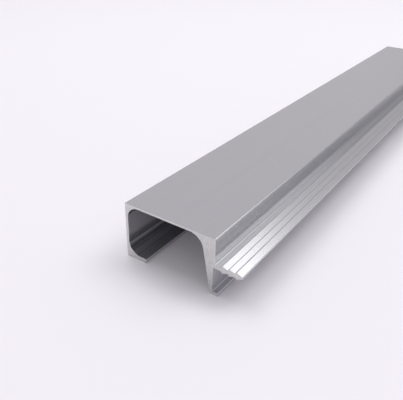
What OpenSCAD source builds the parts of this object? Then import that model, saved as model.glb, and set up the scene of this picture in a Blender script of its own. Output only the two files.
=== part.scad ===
// A cut length of extruded aluminium handle profile for the edge of a cabinet board.
// The section is a channel, open below, with a finger pull behind its lip. On its other side a
// barbed fin presses into a kerf sawn along the board's edge, and a foot lies under the board.
// X runs across the section towards the fin, Y along the length, Z up from the resting plane.
// The origin is in the middle of the box around the part, on the resting plane.

/* [Stock] */
// Length of the cut piece
length = 265; // [50:1:3000]
// Thickness of the board that the seat takes
board = 18; // [15:0.5:25]
// Play left between the board and the foot
board_play = 0.5; // [0:0.1:1]

/* [Channel] */
// Width of the top, from the outer left face to the face that the board meets
top_width = 33; // [26:0.5:60]
// Thickness of the top
top_thickness = 0.8; // [0.7:0.1:1.5]
// Thickness of the left wall
wall_thickness = 1; // [0.8:0.1:1.5]
// Reach of the lip from the outer left face
lip_reach = 7.6; // [7:0.1:10]
// Thickness of the lip
lip_thickness = 1.5; // [1:0.1:2]
// Radius of the two inner corners on the left
left_fillet = 4.2; // [2:0.1:5]

/* [Web] */
// Thickness of the web where it meets the top, before its corner is filled
web_top = 4.8; // [3:0.1:6]
// Thickness of the web at the resting plane
web_bottom = 0.8; // [0.7:0.05:1.5]
// Depth by which the web's outer face is set back below the fin
set_back = 0.5; // [0.2:0.1:1]
// Radius of the inner corner between the top and the web
right_fillet = 4.8; // [3:0.1:6]

/* [Fin] */
// Thickness of the fin's stem and of the fin between its barbs
stem = 1.2; // [0.8:0.1:1.4]
// Distance from the board's face to the first barb's crests
first_crest = 2.5; // [2:0.1:3]
// Number of barbs along each side of the fin
barbs = 3; // [2:1:4]
// Distance from one barb to the next
barb_pitch = 2.3; // [2:0.1:3]
// Thickness of the fin across the first barb's crests
crest_width = 2.5; // [2:0.1:3]
// Thickness that each barb loses to the one before it
crest_loss = 0.1; // [0:0.05:0.15]
// Length of the steep back of each barb
barb_back = 0.5; // [0.3:0.05:0.8]
// Length of the last barb, from its crests to the fin's blunt tip
last_barb = 2; // [1.5:0.1:3]
// Thickness of the fin's blunt tip
tip = 0.65; // [0.55:0.05:0.9]

/* [Foot] */
// Reach of the foot beyond the board's face
foot_reach = 1.4; // [1:0.1:3]
// Thickness of the foot
foot_thickness = 1; // [0.8:0.1:1.5]

/* [Edges] */
// Radius of the outer edges
edge = 0.3; // [0.1:0.05:0.3]
// Radius of the barbs' crests and of the troughs between them
barb_edge = 0.12; // [0.05:0.01:0.15]
// Radius of the small inner corners at the fin's stem and at the foot
root = 0.25; // [0.15:0.05:0.5]

/* [Hidden] */
$fn = 96;
foot_top = foot_thickness;
height = foot_top + board + board_play;
ceiling = height - top_thickness;
fin_level = foot_top + (board + board_play) / 2;
web_face = top_width - set_back;
foot_end = top_width + foot_reach;
fin_tip = crest_x(barbs - 1) + last_barb;
// Depth to which each arc crosses the two lines beside it, so that it meets each in one point
crossing = 0.0003;
// Width by which a corner piece laps over the lines that it rounds
lap = 0.05;

function crest_x(i) = top_width + first_crest + i * barb_pitch;
function crest_half(i) = (crest_width - i * crest_loss) / 2;

// Each corner of the outline is [x, z, radius]. The corners run counter-clockwise.
// One side of the fin from its root to its tip, where side is 1 above and -1 below.
function fin_side(side) = [
    for (i = [0:barbs - 1]) each [
        [crest_x(i) - barb_back, fin_level + side * stem / 2, barb_edge],
        [crest_x(i), fin_level + side * crest_half(i), barb_edge]
    ],
    [fin_tip, fin_level + side * tip / 2, edge]
];

function reversed(list) = [for (i = [len(list) - 1:-1:0]) list[i]];

outline = [
    [0, 0, edge],
    [lip_reach, 0, edge],
    [lip_reach, lip_thickness, edge],
    [wall_thickness, lip_thickness, left_fillet],
    [wall_thickness, ceiling, left_fillet],
    [top_width - web_top, ceiling, right_fillet],
    [web_face - web_bottom, 0, edge],
    [foot_end, 0, edge],
    [foot_end, foot_top, edge],
    [web_face, foot_top, root],
    [web_face, fin_level - stem / 2, root],
    each fin_side(-1),
    each reversed(fin_side(1)),
    [top_width, fin_level + stem / 2, root],
    [top_width, height, edge],
    [0, height, edge]
];

function point(i) = let (c = outline[(i + len(outline)) % len(outline)]) [c[0], c[1]];
function unit(v) = v / norm(v);
function is_inner(i) = cross(point(i) - point(i - 1), point(i + 1) - point(i)) < 0;

// The piece between a corner of the outline and the arc that rounds it.
module corner_piece(i) {
    to_last = unit(point(i - 1) - point(i));
    to_next = unit(point(i + 1) - point(i));
    half_angle = acos(to_last * to_next) / 2;
    radius = outline[i][2];
    centre = point(i) + unit(to_last + to_next) * (radius - crossing) / sin(half_angle);
    run = (radius - crossing) / tan(half_angle);
    kite = [point(i), point(i) + to_last * run, centre, point(i) + to_next * run];
    difference() {
        polygon([for (p = kite) centre + (p - centre) * (1 + lap / radius)]);
        translate(centre) circle(r = radius);
    }
}

module section() {
    difference() {
        union() {
            polygon([for (i = [0:len(outline) - 1]) point(i)]);
            for (i = [0:len(outline) - 1]) if (is_inner(i)) corner_piece(i);
        }
        for (i = [0:len(outline) - 1]) if (!is_inner(i)) corner_piece(i);
    }
}

module profile() {
    color([0.69, 0.7, 0.72])
    translate([-fin_tip / 2, 0, 0])
    rotate([90, 0, 0])
    linear_extrude(height = length, center = true) section();
}

profile();
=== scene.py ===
import math

import bpy
from mathutils import Matrix, Vector


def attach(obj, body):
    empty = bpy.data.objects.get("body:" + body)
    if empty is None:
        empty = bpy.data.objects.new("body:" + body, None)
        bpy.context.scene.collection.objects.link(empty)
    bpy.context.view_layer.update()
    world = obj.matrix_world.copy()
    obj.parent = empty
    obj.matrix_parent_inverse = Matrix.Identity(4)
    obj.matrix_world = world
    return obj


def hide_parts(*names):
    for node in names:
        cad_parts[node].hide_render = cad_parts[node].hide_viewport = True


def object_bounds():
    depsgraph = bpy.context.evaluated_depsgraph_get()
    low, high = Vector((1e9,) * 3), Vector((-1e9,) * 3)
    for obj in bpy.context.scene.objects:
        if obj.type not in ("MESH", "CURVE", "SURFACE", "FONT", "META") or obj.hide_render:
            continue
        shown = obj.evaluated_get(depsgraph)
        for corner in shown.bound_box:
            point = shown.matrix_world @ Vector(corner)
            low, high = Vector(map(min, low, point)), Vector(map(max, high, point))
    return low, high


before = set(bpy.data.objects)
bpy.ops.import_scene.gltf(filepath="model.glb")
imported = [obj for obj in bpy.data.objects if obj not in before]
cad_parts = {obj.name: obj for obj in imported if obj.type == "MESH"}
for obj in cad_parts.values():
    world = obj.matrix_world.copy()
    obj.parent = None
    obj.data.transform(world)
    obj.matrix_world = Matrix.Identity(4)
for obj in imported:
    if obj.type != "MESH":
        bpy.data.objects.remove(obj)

cad_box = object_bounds()
MM = 0.001

# The section, in the same sizes as the part's source, in metres
LENGTH = 265 * MM
BOARD, BOARD_PLAY = 18 * MM, 0.5 * MM
TOP_WIDTH, TOP_THICKNESS = 33 * MM, 0.8 * MM
WALL_THICKNESS = 1 * MM
LIP_REACH, LIP_THICKNESS = 7.6 * MM, 1.5 * MM
LEFT_FILLET, RIGHT_FILLET = 4.2 * MM, 4.8 * MM
WEB_TOP, WEB_BOTTOM, SET_BACK = 4.8 * MM, 0.8 * MM, 0.5 * MM
STEM, TIP = 1.2 * MM, 0.65 * MM
FIRST_CREST, BARBS, BARB_PITCH, BARB_BACK, LAST_BARB = 2.5 * MM, 3, 2.3 * MM, 0.5 * MM, 2 * MM
CREST_WIDTH, CREST_LOSS = 2.5 * MM, 0.1 * MM
FOOT_REACH, FOOT_THICKNESS = 1.4 * MM, 1 * MM
EDGE, BARB_EDGE, ROOT = 0.3 * MM, 0.12 * MM, 0.25 * MM

HEIGHT = FOOT_THICKNESS + BOARD + BOARD_PLAY
CEILING = HEIGHT - TOP_THICKNESS
FIN_LEVEL = FOOT_THICKNESS + (BOARD + BOARD_PLAY) / 2
FIN_TIP = TOP_WIDTH + FIRST_CREST + (BARBS - 1) * BARB_PITCH + LAST_BARB
WEB_FACE = TOP_WIDTH - SET_BACK
FOOT_END = TOP_WIDTH + FOOT_REACH

# Width of the chamfer that the saw and a light deburring leave round each cut end
DEBURR = 0.08 * MM
# Greatest angle that one flat of a rounded stretch turns through
ARC_STEP = math.radians(9)

# The two material slots of the profile, and its texture coordinates
SATIN, SAWN = 0, 1
UV_NAME = "section"
# Die lines, broader bands and grains of the etch in a metre across the section
DIE_LINES, DIE_BANDS, ETCH_GRAINS = 2600.0, 420.0, 9000.0
# Along the length, the texture of the lines and bands moves on by this share only
LINE_ADVANCE = 0.0004
# Height of the etch's grains, as a share of that of the die lines
ETCH_SHARE = 0.25
# The middle of the saw blade that cut the ends
SAW_X, SAW_Z = -150 * MM, -30 * MM
# Fineness of the rings and of the blotches that the saw leaves
SAW_RINGS, SAW_BLOTCHES = 550.0, 900.0
# Weight of the rings in the colour of the ends, as a share of that of the blotches
RING_SHARE = 0.5

# Distance from the middle of the floor to each of its sides
FLOOR_REACH = 6.0
# The level direction in which the room is dimmest
DIM_SIDE = (0.8, 0.6, 0)

# The camera, measured from the near top left corner of the profile
CAMERA_OFFSET = Vector((91.54, -94.82, 76.67)) * MM
CAMERA_YAW, CAMERA_PITCH, CAMERA_ROLL = (math.radians(a) for a in (33.830, 30.049, -1.594))
FOCAL_PIXELS, PICTURE_WIDTH, SENSOR = 498.14, 403, 36
# Distance at which the camera begins to see
NEAREST = 10 * MM


def fin_side(side):
    """The corners of one side of the fin, from its root to its tip; side is 1 above and -1 below."""
    corners = []
    for i in range(BARBS):
        crest = TOP_WIDTH + FIRST_CREST + i * BARB_PITCH
        corners.append((crest - BARB_BACK, FIN_LEVEL + side * STEM / 2, BARB_EDGE))
        corners.append((crest, FIN_LEVEL + side * (CREST_WIDTH - i * CREST_LOSS) / 2, BARB_EDGE))
    return corners + [(FIN_TIP, FIN_LEVEL + side * TIP / 2, EDGE)]


def section_corners():
    """Each corner of the section as (x, z, radius), counter-clockwise from the outer left corner."""
    return [
        (0, 0, EDGE),
        (LIP_REACH, 0, EDGE),
        (LIP_REACH, LIP_THICKNESS, EDGE),
        (WALL_THICKNESS, LIP_THICKNESS, LEFT_FILLET),
        (WALL_THICKNESS, CEILING, LEFT_FILLET),
        (TOP_WIDTH - WEB_TOP, CEILING, RIGHT_FILLET),
        (WEB_FACE - WEB_BOTTOM, 0, EDGE),
        (FOOT_END, 0, EDGE),
        (FOOT_END, FOOT_THICKNESS, EDGE),
        (WEB_FACE, FOOT_THICKNESS, ROOT),
        (WEB_FACE, FIN_LEVEL - STEM / 2, ROOT),
        *fin_side(-1),
        *reversed(fin_side(1)),
        (TOP_WIDTH, FIN_LEVEL + STEM / 2, ROOT),
        (TOP_WIDTH, HEIGHT, EDGE),
        (0, HEIGHT, EDGE),
    ]


def outline(inset):
    """The section's outline moved inwards by inset, as (point, outward normal) pairs in X and Z."""
    corners = section_corners()
    shift = Vector((-FIN_TIP / 2, 0))
    points = []
    for i, (x, z, radius) in enumerate(corners):
        corner = Vector((x, z))
        last = (corner - Vector(corners[i - 1][:2])).normalized()
        following = (Vector(corners[(i + 1) % len(corners)][:2]) - corner).normalized()
        turn = -last.angle_signed(following)
        out_last, out_next = Vector((last.y, -last.x)), Vector((following.y, -following.x))
        bulge = 1 if turn > 0 else -1
        middle = (out_last + out_next).normalized()
        centre = corner - middle * (bulge * radius / math.cos(turn / 2))
        reach = radius - bulge * inset
        steps = max(2, math.ceil(abs(turn) / ARC_STEP))
        for s in range(steps + 1):
            angle = turn * s / steps
            normal = Matrix.Rotation(angle, 2) @ out_last
            points.append((centre + normal * (bulge * reach) + shift, normal))
    return points


def build_profile():
    """The whole profile as one closed mesh with exact normals: satin long faces, sawn ends.

    Four copies of the outline make its rings: one at each end, moved inwards by the deburred edge,
    and one at full size just behind each of them."""
    half = LENGTH / 2
    rings = [(-half, DEBURR), (-half + DEBURR, 0), (half - DEBURR, 0), (half, DEBURR)]
    shapes = {inset: outline(inset) for _, inset in rings}
    count = len(shapes[0])
    verts = [(p.x, y, p.y) for y, inset in rings for p, _ in shapes[inset]]
    around = [Vector((n.x, 0, n.y)) for _, n in shapes[0]]
    near, upright, far = Vector((0, -1, 0)), Vector((0, 0, 0)), Vector((0, 1, 0))
    faces, normals, slots = [], [], []
    # Only the faces of the deburred edges lean towards an end
    for r, lean in enumerate((near, upright, far)):
        for i in range(count):
            j = (i + 1) % count
            faces.append((r * count + i, (r + 1) * count + i, (r + 1) * count + j, r * count + j))
            normals += [(around[k] + lean).normalized() for k in (i, i, j, j)]
            slots.append(SATIN)
    last_ring = range((len(rings) - 1) * count, len(rings) * count)
    faces += [tuple(range(count)), tuple(reversed(last_ring))]
    normals += [near] * count + [far] * count
    slots += [SAWN, SAWN]
    mesh = bpy.data.meshes.new("profile_skin")
    mesh.from_pydata(verts, [], faces)
    mesh.polygons.foreach_set("material_index", slots)
    mesh.shade_smooth()
    mesh.normals_split_custom_set(normals)
    add_uv(mesh, count)
    piece = bpy.data.objects.new("profile_skin", mesh)
    bpy.context.collection.objects.link(piece)
    return piece


def add_uv(mesh, count):
    """U runs round the section's count points and V along the length, in metres; on the ends they
    are X and Z."""
    points = [p for p, _ in outline(0)]
    run = [0]
    for i in range(count):
        run.append(run[-1] + (points[(i + 1) % count] - points[i]).length)
    layer = mesh.uv_layers.new(name=UV_NAME).data
    for polygon in mesh.polygons:
        for corner, loop in enumerate(polygon.loop_indices):
            vertex = mesh.loops[loop].vertex_index
            place = mesh.vertices[vertex].co
            if polygon.material_index == SAWN:
                layer[loop].uv = (place.x, place.z)
            else:
                # The last face of a ring ends at the first point, with the whole way round behind it
                i = vertex % count
                wrapped = i == 0 and corner >= 2
                layer[loop].uv = (run[count] if wrapped else run[i], place.y)


def new_material(name):
    """A new material, its Principled shader, its nodes and its links."""
    material = bpy.data.materials.new(name)
    material.use_nodes = True
    nodes = material.node_tree.nodes
    return material, nodes["Principled BSDF"], nodes, material.node_tree.links


def node(nodes, kind, **values):
    """A new node, each value set on its input of that name or else on its property."""
    made = nodes.new(kind)
    for key, value in values.items():
        if key in made.inputs.keys():
            made.inputs[key].default_value = value
        else:
            setattr(made, key, value)
    return made


def color_ramp(nodes, low, low_color, high, high_color):
    """A ramp from one colour at the value low to another at the value high."""
    ramp = node(nodes, "ShaderNodeValToRGB")
    first, last = ramp.color_ramp.elements
    first.position, last.position = low, high
    first.color, last.color = (*low_color, 1), (*high_color, 1)
    return ramp


def add_noise(nodes, links, place, **values):
    """The value of a noise texture that reads the place."""
    texture = node(nodes, "ShaderNodeTexNoise", **values)
    links.new(place, texture.inputs["Vector"])
    return texture.outputs["Fac"]


def add_share(nodes, links, value, share, base):
    """The value times its share, on top of the base."""
    total = node(nodes, "ShaderNodeMath", operation="MULTIPLY_ADD")
    links.new(value, total.inputs[0])
    total.inputs[1].default_value = share
    links.new(base, total.inputs[2])
    return total.outputs["Value"]


def set_color(nodes, links, shader, value, **ramp):
    """Colour the shader by a ramp over the value."""
    tint = color_ramp(nodes, **ramp)
    links.new(value, tint.inputs["Fac"])
    links.new(tint.outputs["Color"], shader.inputs["Base Color"])


def set_roughness(nodes, links, shader, value, low, high):
    """Let the shader's roughness follow the value, between low and high."""
    rough = node(nodes, "ShaderNodeMapRange", **{"To Min": low, "To Max": high})
    links.new(value, rough.inputs["Value"])
    links.new(rough.outputs["Result"], shader.inputs["Roughness"])


def set_bump(nodes, links, shader, height, strength, depth):
    """Give the shader's surface a relief of the height, where a height of 1 rises by depth."""
    bump = node(nodes, "ShaderNodeBump", Strength=strength, Distance=depth)
    links.new(height, bump.inputs["Height"])
    links.new(bump.outputs["Normal"], shader.inputs["Normal"])


def anodised():
    """Satin anodised aluminium: a fine etch that blurs reflections more along the length than
    across it, and faint die lines that run along the length."""
    material, shader, nodes, links = new_material("satin_anodised")
    shader.inputs["Metallic"].default_value = 0.9
    shader.inputs["Anisotropic"].default_value = 0.65
    shader.inputs["Anisotropic Rotation"].default_value = 0.25
    tangent = node(nodes, "ShaderNodeTangent", direction_type="UV_MAP", uv_map=UV_NAME)
    links.new(tangent.outputs["Tangent"], shader.inputs["Tangent"])
    place = node(nodes, "ShaderNodeTexCoord").outputs["Object"]
    stretch = node(nodes, "ShaderNodeMapping", Scale=(1, LINE_ADVANCE, 1))
    links.new(place, stretch.inputs["Vector"])
    along = stretch.outputs["Vector"]
    lines = add_noise(nodes, links, along, Scale=DIE_LINES, Detail=4.0, Roughness=0.65)
    bands = add_noise(nodes, links, along, Scale=DIE_BANDS, Detail=2.0)
    etch = add_noise(nodes, links, place, Scale=ETCH_GRAINS, Detail=2.0)
    set_color(nodes, links, shader, bands, low=0.3, low_color=(0.637, 0.640, 0.661),
              high=0.7, high_color=(0.653, 0.656, 0.677))
    set_roughness(nodes, links, shader, lines, low=0.175, high=0.205)
    relief = add_share(nodes, links, etch, ETCH_SHARE, lines)
    set_bump(nodes, links, shader, relief, strength=0.06, depth=0.02 * MM)
    return material


def sawn():
    """Bare aluminium as a fine saw leaves it: shallow upright arcs, and a dull bloom."""
    material, shader, nodes, links = new_material("sawn_end")
    shader.inputs["Metallic"].default_value = 1
    place = node(nodes, "ShaderNodeTexCoord").outputs["Object"]
    from_saw = node(nodes, "ShaderNodeMapping", Location=(-SAW_X, 0, -SAW_Z))
    links.new(place, from_saw.inputs["Vector"])
    rings = node(nodes, "ShaderNodeTexWave", wave_type="RINGS", rings_direction="Y",
                 Scale=SAW_RINGS, Distortion=3.0, Detail=3.0)
    links.new(from_saw.outputs["Vector"], rings.inputs["Vector"])
    arcs = rings.outputs["Fac"]
    blotches = add_noise(nodes, links, place, Scale=SAW_BLOTCHES, Detail=4.0)
    marks = add_share(nodes, links, arcs, RING_SHARE, blotches)
    set_color(nodes, links, shader, marks, low=0.45, low_color=(0.54, 0.545, 0.53),
              high=1, high_color=(0.69, 0.69, 0.69))
    set_roughness(nodes, links, shader, blotches, low=0.28, high=0.38)
    set_bump(nodes, links, shader, arcs, strength=0.4, depth=0.04 * MM)
    return material


def build_floor():
    """A plain pale table top, far larger than the profile."""
    mesh = bpy.data.meshes.new("floor")
    sides = ((-1, -1), (1, -1), (1, 1), (-1, 1))
    mesh.from_pydata([(FLOOR_REACH * x, FLOOR_REACH * y, 0) for x, y in sides], [], [(0, 1, 2, 3)])
    floor = bpy.data.objects.new("floor", mesh)
    bpy.context.collection.objects.link(floor)
    material, shader, _, _ = new_material("pale_floor")
    shader.inputs["Base Color"].default_value = (0.85, 0.83, 0.87, 1)
    shader.inputs["Roughness"].default_value = 0.7
    shader.inputs["Specular IOR Level"].default_value = 0.2
    mesh.materials.append(material)
    return floor


def add_softbox(name, azimuth, elevation, distance, width, height, radiance):
    """A soft rectangular lamp that faces the profile; the azimuth runs from +Y towards +X."""
    lamp = bpy.data.lights.new(name, "AREA")
    lamp.shape = "RECTANGLE"
    lamp.size, lamp.size_y = width, height
    # A lamp of this power looks as bright as a surface of the given radiance
    lamp.energy = 4 * radiance * width * height
    box = bpy.data.objects.new(name, lamp)
    azimuth, elevation = math.radians(azimuth), math.radians(elevation)
    box.location = distance * Vector((math.cos(elevation) * math.sin(azimuth),
                                      math.cos(elevation) * math.cos(azimuth), math.sin(elevation)))
    box.rotation_euler = (-box.location).to_track_quat("-Z", "Y").to_euler()
    box.visible_camera = False
    bpy.context.collection.objects.link(box)
    return box


def build_sky():
    """A pale room all round that is dimmer behind the profile, on the fin's side."""
    world = bpy.data.worlds.new("studio")
    world.use_nodes = True
    nodes, links = world.node_tree.nodes, world.node_tree.links
    place = node(nodes, "ShaderNodeTexCoord")
    towards = node(nodes, "ShaderNodeVectorMath", operation="DOT_PRODUCT")
    towards.inputs[1].default_value = DIM_SIDE
    links.new(place.outputs["Generated"], towards.inputs[0])
    shade = color_ramp(nodes, low=0.35, low_color=(0.598, 0.581, 0.607),
                       high=1, high_color=(0.29, 0.281, 0.295))
    links.new(towards.outputs["Value"], shade.inputs["Fac"])
    links.new(shade.outputs["Color"], nodes["Background"].inputs["Color"])
    bpy.context.scene.world = world


def light_scene():
    """Two broad lamps stay out of all reflections, two strips show in reflections only, and two
    more lamps do both."""
    build_sky()
    key = add_softbox("key", azimuth=35, elevation=62, distance=1.3, width=0.8, height=0.8,
                      radiance=2.14)
    left = add_softbox("left", azimuth=-85, elevation=65, distance=1.3, width=0.8, height=0.8,
                       radiance=2.04)
    for lamp in (key, left):
        lamp.visible_glossy = False
    strip = add_softbox("strip", azimuth=14, elevation=51.4, distance=1.2, width=0.7, height=0.24,
                        radiance=1.22)
    low_strip = add_softbox("low_strip", azimuth=54, elevation=10, distance=1.3, width=0.8,
                            height=0.42, radiance=0.28)
    for lamp in (strip, low_strip):
        lamp.visible_diffuse = False
    add_softbox("low_right", azimuth=37, elevation=37, distance=1.3, width=0.75, height=0.58,
                radiance=0.53)
    add_softbox("front", azimuth=180, elevation=20, distance=1.3, width=1.2, height=0.7,
                radiance=0.3)


def add_camera():
    """The camera where the photograph was taken from, looking along its viewing line."""
    yaw, pitch, roll = CAMERA_YAW, CAMERA_PITCH, CAMERA_ROLL
    forward = Vector((-math.sin(yaw) * math.cos(pitch), math.cos(yaw) * math.cos(pitch),
                      -math.sin(pitch)))
    level = Vector((math.cos(yaw), math.sin(yaw), 0))
    down = forward.cross(level)
    right = math.cos(roll) * level + math.sin(roll) * down
    up = math.sin(roll) * level - math.cos(roll) * down
    data = bpy.data.cameras.new("camera")
    data.sensor_width = SENSOR
    data.lens = FOCAL_PIXELS * SENSOR / PICTURE_WIDTH
    data.clip_start = NEAREST
    camera = bpy.data.objects.new("camera", data)
    corner = Vector((cad_box[0].x, cad_box[0].y, cad_box[1].z))
    turn = Matrix((right, up, -forward)).transposed().to_4x4()
    camera.matrix_world = Matrix.Translation(corner + CAMERA_OFFSET) @ turn
    bpy.context.collection.objects.link(camera)
    bpy.context.scene.camera = camera


profile = build_profile()
profile.data.materials.append(anodised())
profile.data.materials.append(sawn())
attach(profile, "root")
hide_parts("profile")

build_floor()
light_scene()
add_camera()
bpy.context.scene.view_settings.view_transform = "Standard"
